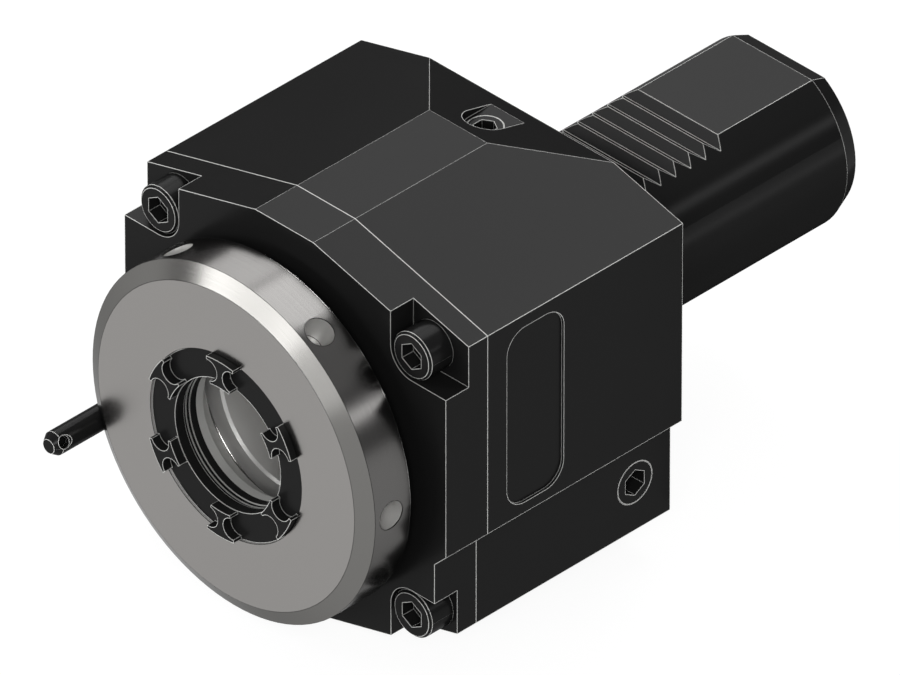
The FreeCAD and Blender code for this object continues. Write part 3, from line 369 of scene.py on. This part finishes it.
class StageSettings(bpy.types.PropertyGroup):
    floor_white: FloatProperty(
        name="Floor white", description="How bright the floor looks where nothing shades it",
        default=0.92, min=0.0, max=1.0, subtype="FACTOR")
    floor_reach: FloatProperty(
        name="Floor reach", description="From the object to the floor's edge",
        default=12.0, min=1.0, unit="LENGTH")
    sky: FloatProperty(
        name="Room light", description="Grey of the light that comes from all round",
        default=0.25, min=0.0, max=1.0, subtype="FACTOR")
    lamp_distance: FloatProperty(
        name="Lamp distance", description="From the object to each lamp",
        default=1.4, min=0.3, unit="LENGTH")
    camera_distance: FloatProperty(
        name="Camera distance", description="Far, so that the view is nearly parallel",
        default=5.629, min=1.0, unit="LENGTH")


class TOOLHOLDER_OT_housing(bpy.types.Operator):
    """Black oxide on the housing and its cover"""
    bl_idname = "toolholder.housing"
    bl_label = "Housing and cover"

    def execute(self, context):
        spacing = context.scene.holder_finish.mark_spacing
        oxide = black_oxide_steel("milled_steel_black_oxide", "milled", spacing, MILLED_OXIDE_ROUGHNESS)
        dress(oxide, *HOUSING_NODES)
        return {"FINISHED"}


class TOOLHOLDER_OT_nut(bpy.types.Operator):
    """Black oxide on the clamping nut and its extractor ring"""
    bl_idname = "toolholder.nut"
    bl_label = "Clamping nut"

    def execute(self, context):
        oxide = black_oxide_steel("turned_steel_black_oxide", "turned", spacing=0.4 * MM,
                                  roughness=OXIDE_ROUGHNESS, ground_seat=True)
        dress(oxide, *NUT_NODES)
        return {"FINISHED"}


class TOOLHOLDER_OT_screws(bpy.types.Operator):
    """Black oxide on the screws and plugs"""
    bl_idname = "toolholder.screws"
    bl_label = "Screws and plugs"

    def execute(self, context):
        oxide = black_oxide_steel("cold_headed_steel_black_oxide", "headed", spacing=0.3 * MM,
                                  roughness=OXIDE_ROUGHNESS)
        dress(oxide, *SCREW_NODES)
        return {"FINISHED"}


class TOOLHOLDER_OT_tube(bpy.types.Operator):
    """Black oxide on the coolant tube"""
    bl_idname = "toolholder.tube"
    bl_label = "Coolant tube"

    def execute(self, context):
        oxide = black_oxide_steel("drawn_tube_black_oxide", "drawn", spacing=0.2 * MM,
                                  roughness=OXIDE_ROUGHNESS)
        dress(oxide, "coolant_tube")
        return {"FINISHED"}


class TOOLHOLDER_OT_spindle(bpy.types.Operator):
    """Ground steel on the spindle"""
    bl_idname = "toolholder.spindle"
    bl_label = "Spindle"

    def execute(self, context):
        dress(ground_spindle_steel(), "spindle")
        return {"FINISHED"}


class TOOLHOLDER_OT_bearings(bpy.types.Operator):
    """Bearing steel on the rings and balls, brass on the cages"""
    bl_idname = "toolholder.bearings"
    bl_label = "Bearings"

    def execute(self, context):
        ground = bright_metal("bearing_steel_ground", "#c8c8c8", roughness=0.2, spacing=0.4 * MM,
                              way="turned")
        lapped = bright_metal("bearing_steel_lapped", "#d6d6d6", roughness=0.12, spacing=0.3 * MM,
                              way="headed")
        brass = bright_metal("brass_turned", "#d8b36a", roughness=0.3, spacing=0.4 * MM, way="turned")
        for name in BEARING_NAMES:
            dress(ground, name + "_outer_ring", name + "_inner_ring")
            dress(lapped, name + "_balls")
            dress(brass, name + "_cage")
        return {"FINISHED"}


class TOOLHOLDER_OT_rings(bpy.types.Operator):
    """Bare steel on the spacers and the lock nut, phosphated spring steel on the snap rings"""
    bl_idname = "toolholder.rings"
    bl_label = "Spacers and snap rings"

    def execute(self, context):
        turned = bright_metal("steel_turned_bright", "#b8b8b6", roughness=0.35, spacing=0.5 * MM,
                              way="turned")
        dress(turned, *TURNED_NODES)
        spring = bright_metal("spring_steel_phosphated", "#5c5c5c", roughness=0.5, spacing=0.3 * MM,
                              way="headed")
        dress(spring, *SNAP_NODES)
        return {"FINISHED"}


class TOOLHOLDER_OT_seals(bpy.types.Operator):
    """Moulded rubber on the seals and O-rings"""
    bl_idname = "toolholder.seals"
    bl_label = "Seals"

    def execute(self, context):
        dress(moulded_nitrile("#1b1b1b", peel_size=0.4 * MM), *SEAL_NODES)
        return {"FINISHED"}


def mirrored(normal):
    """Where a mirror with this normal sends the camera's line: twice the normal's share of it, less the
    line."""
    turned = Vector(normal).normalized()
    return (2 * turned.dot(CAMERA_BACK) * turned - CAMERA_BACK).normalized()


def off_shank(angle):
    """Where the shank mirrors the camera to, at an angle in degrees up from the right."""
    return mirrored((math.cos(math.radians(angle)), 0.0, math.sin(math.radians(angle))))


def off_chamfer(angle):
    """Where the nose's front chamfer mirrors the camera to, at an angle in degrees up from the right."""
    across = CHAMFER_LENGTH * math.cos(math.radians(angle))
    up = CHAMFER_LENGTH * math.sin(math.radians(angle))
    return mirrored((across, -CHAMFER_DEPTH, up))


def off_rack(aside):
    """Where the rack's flanks that face the nose mirror the camera to, turned aside a little."""
    return mirrored((aside, RACK_FLANK_ALONG, RACK_FLANK_UP))


# Each lamp: its name, the directions it reaches from and to, its width in metres, and its radiance.
LAMPS = (
    ("back_panel", off_shank(101), off_shank(82), 0.4, 4.4),
    ("upper_panel", off_shank(82), off_shank(63), 0.4, 5.7),
    ("dim_panel", off_shank(59), off_shank(41), 0.4, 0.4),
    ("front_panel", off_chamfer(101), off_chamfer(57), 0.3, 8.0),
    ("nose_panel", off_chamfer(57), off_chamfer(38), 0.25, 3.0),
    ("right_strip", off_shank(32), off_shank(36), 0.4, 4.5),
    ("fill_panel", Vector((0.72, -0.44, 0.53)), Vector((0.44, -0.72, 0.53)), 0.5, 12.0),
    ("left_panel", Vector((-0.95, 0.05, 0.3)), Vector((-0.7, 0.05, 0.7)), 0.5, 4.0),
    ("rack_panel", off_rack(-0.12), off_rack(0.12), 0.45, 4.0),
)


def lamp(name, first, last, width, radiance):
    """A soft lamp that reaches from one direction to another and faces the object. Its power is pi times its
    area times its radiance."""
    distance = bpy.context.scene.holder_stage.lamp_distance
    out = (first + last).normalized()
    along = (last - first).normalized()
    along = (along - along.dot(out) * out).normalized()
    data = bpy.data.lights.new(name, "AREA")
    data.shape = "RECTANGLE"
    data.size = (last - first).length * distance
    data.size_y = width
    data.energy = math.pi * data.size * data.size_y * radiance
    made = bpy.data.objects.new(name, data)
    bpy.context.scene.collection.objects.link(made)
    turn = Matrix((along, out.cross(along), out)).transposed().to_4x4()
    made.matrix_world = Matrix.Translation(out * distance) @ turn
    made.visible_camera = False


def floor_piece(name, corners, height, material):
    """A flat sheet on the floor."""
    mesh = bpy.data.meshes.new(name)
    mesh.from_pydata([(x, y, height) for x, y in corners], [], [range(len(corners))])
    mesh.materials.append(material)
    made = bpy.data.objects.new(name, mesh)
    bpy.context.scene.collection.objects.link(made)
    return made


def mirror_only(sheet):
    """Hides a sheet from all but glossy rays, so it shows only as a reflection."""
    sheet.visible_camera = False
    sheet.visible_diffuse = False
    sheet.visible_transmission = False
    sheet.visible_shadow = False


def white_board(glow_strength):
    """White board. It looks white itself and in mirrors, and takes a faint shadow, but passes on little
    light."""
    material, tree = new_material("white_board")
    path = add(tree, "ShaderNodeLightPath").outputs
    seen = {0: path["Is Glossy Ray"], 1: path["Is Transmission Ray"]}
    mirrors = add(tree, "ShaderNodeMath", seen, operation="MAXIMUM").outputs[0]
    looks = {0: path["Is Camera Ray"], 1: mirrors}
    shown = add(tree, "ShaderNodeMath", looks, operation="MAXIMUM").outputs[0]
    board = add(tree, "ShaderNodeBsdfDiffuse", {"Color": rgba([BOARD_GREY] * 3)}).outputs["BSDF"]
    shade = add(tree, "ShaderNodeBsdfDiffuse", {"Color": rgba([SHADOW_GREY] * 3)}).outputs["BSDF"]
    glow = add(tree, "ShaderNodeEmission", {"Strength": glow_strength}).outputs["Emission"]
    lit = add(tree, "ShaderNodeAddShader", {0: shade, 1: glow}).outputs[0]
    surface = add(tree, "ShaderNodeMixShader", {"Fac": shown, 1: board, 2: lit}).outputs[0]
    add(tree, "ShaderNodeOutputMaterial", {"Surface": surface})
    return material


def painted_reflection_card():
    """A glowing sheet, seen only in mirrors, that paints a reflection into the shank: dark near it and
    fading to pale to the right, painted shade in place of the floor's white.
    """
    material, tree = new_material("painted_reflection_card")
    places = add(tree, "ShaderNodeTexCoord").outputs["Object"]
    across = add(tree, "ShaderNodeSeparateXYZ", {"Vector": places}).outputs["X"]
    fade = {"Value": across, "From Max": CARD_FADE, "To Min": CARD_DARKEST, "To Max": CARD_LIGHTEST}
    strength = add(tree, "ShaderNodeMapRange", fade).outputs["Result"]
    card_glow = add(tree, "ShaderNodeEmission", {"Strength": strength}).outputs["Emission"]
    add(tree, "ShaderNodeOutputMaterial", {"Surface": card_glow})
    return material


def painted_highlight_strip():
    """A glowing strip, seen only in mirrors, that paints a highlight band into the shank."""
    material, tree = new_material("painted_highlight_strip")
    glow = add(tree, "ShaderNodeEmission", {"Strength": STRIP_GLOW}).outputs["Emission"]
    add(tree, "ShaderNodeOutputMaterial", {"Surface": glow})
    return material


class TOOLHOLDER_OT_stage(bpy.types.Operator):
    """White floor, soft lamps and the camera"""
    bl_idname = "toolholder.stage"
    bl_label = "Stage"

    def execute(self, context):
        stage = context.scene.holder_stage
        reach = stage.floor_reach
        corners = ((-reach, -reach), (reach, -reach), (reach, reach), (-reach, reach))
        floor_piece("floor", corners, FLOOR_Z, white_board(stage.floor_white))
        # Painted shade: a glowing card, dark near the shank, seen only in its reflection.
        mirror_only(floor_piece("painted_reflection_card", CARD_CORNERS, FLOOR_Z + CARD_LIFT, painted_reflection_card()))
        # Painted highlight: a glowing strip seen only in the shank's reflection.
        mirror_only(floor_piece("painted_highlight_strip", STRIP_CORNERS, FLOOR_Z + STRIP_LIFT, painted_highlight_strip()))

        world = bpy.data.worlds.new("room")
        world.use_nodes = True
        world.node_tree.nodes["Background"].inputs["Color"].default_value = rgba([stage.sky] * 3)
        context.scene.world = world
        for settings in LAMPS:
            lamp(*settings)

        camera_data = bpy.data.cameras.new("camera")
        camera_data.lens = CAMERA_LENS
        camera_data.sensor_width = CAMERA_SENSOR
        camera_data.clip_end = CAMERA_REACH
        camera = bpy.data.objects.new("camera", camera_data)
        context.scene.collection.objects.link(camera)
        camera.location = CAMERA_AIM + CAMERA_BACK * stage.camera_distance
        camera.rotation_euler = CAMERA_BACK.to_track_quat("Z", "Y").to_euler()
        context.scene.camera = camera
        context.scene.view_settings.view_transform = "Standard"
        return {"FINISHED"}


OPERATORS = (
    TOOLHOLDER_OT_stage,
    TOOLHOLDER_OT_housing,
    TOOLHOLDER_OT_nut,
    TOOLHOLDER_OT_screws,
    TOOLHOLDER_OT_tube,
    TOOLHOLDER_OT_spindle,
    TOOLHOLDER_OT_bearings,
    TOOLHOLDER_OT_rings,
    TOOLHOLDER_OT_seals,
)


class TOOLHOLDER_PT_panel(bpy.types.Panel):
    bl_idname = "TOOLHOLDER_PT_panel"
    bl_label = "Tool Holder"
    bl_space_type = "VIEW_3D"
    bl_region_type = "UI"
    bl_category = "Tool Holder"

    def draw(self, context):
        for settings in (context.scene.holder_finish, context.scene.holder_stage):
            for name in settings.__annotations__:
                self.layout.prop(settings, name)
        for operator in OPERATORS:
            self.layout.operator(operator.bl_idname)


CLASSES = (FinishSettings, StageSettings) + OPERATORS + (TOOLHOLDER_PT_panel,)


def register():
    for made in CLASSES:
        bpy.utils.register_class(made)
    bpy.types.Scene.holder_finish = PointerProperty(type=FinishSettings)
    bpy.types.Scene.holder_stage = PointerProperty(type=StageSettings)


def unregister():
    del bpy.types.Scene.holder_stage
    del bpy.types.Scene.holder_finish
    for made in reversed(CLASSES):
        bpy.utils.unregister_class(made)


def main():
    register()
    bpy.ops.toolholder.stage()
    bpy.ops.toolholder.housing()
    bpy.ops.toolholder.nut()
    bpy.ops.toolholder.screws()
    bpy.ops.toolholder.tube()
    bpy.ops.toolholder.spindle()
    bpy.ops.toolholder.bearings()
    bpy.ops.toolholder.rings()
    bpy.ops.toolholder.seals()


if __name__ == "__main__":
    main()
